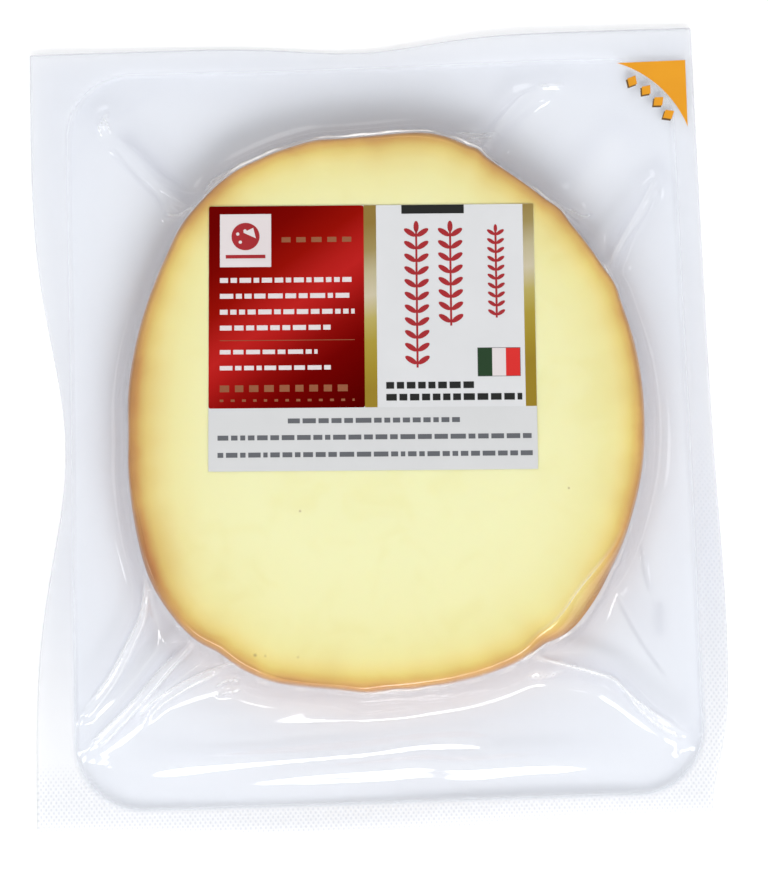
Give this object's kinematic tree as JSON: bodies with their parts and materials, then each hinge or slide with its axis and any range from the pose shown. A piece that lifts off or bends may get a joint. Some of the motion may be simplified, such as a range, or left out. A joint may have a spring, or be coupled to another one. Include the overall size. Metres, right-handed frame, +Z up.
{
  "type": "vacuum packed provolone cheese slice",
  "caption": "Thick round slice of smoked provolone, sealed tight under clear film on a flat sheet, with a sticker label.",
  "frame": {"origin": "on the flat back film's plane, under the middle of the pack's box", "axes": "+Z up out of the face with the label, +Y along the pack's length towards the label's top edge, +X across it"},
  "size_m": [0.1323, 0.1566, 0.014],
  "materials": {
    "film_over_cheese": "clear glossy film over ivory yellow cheese with a brown smoked rind",
    "label_paper": "coated paper sticker, printed in metallic red, gold, white and grey fields"
  },
  "bodies": {
    "root": {"vacuum_pack": "film_over_cheese", "label": "label_paper"}
  },
  "joints": []
}
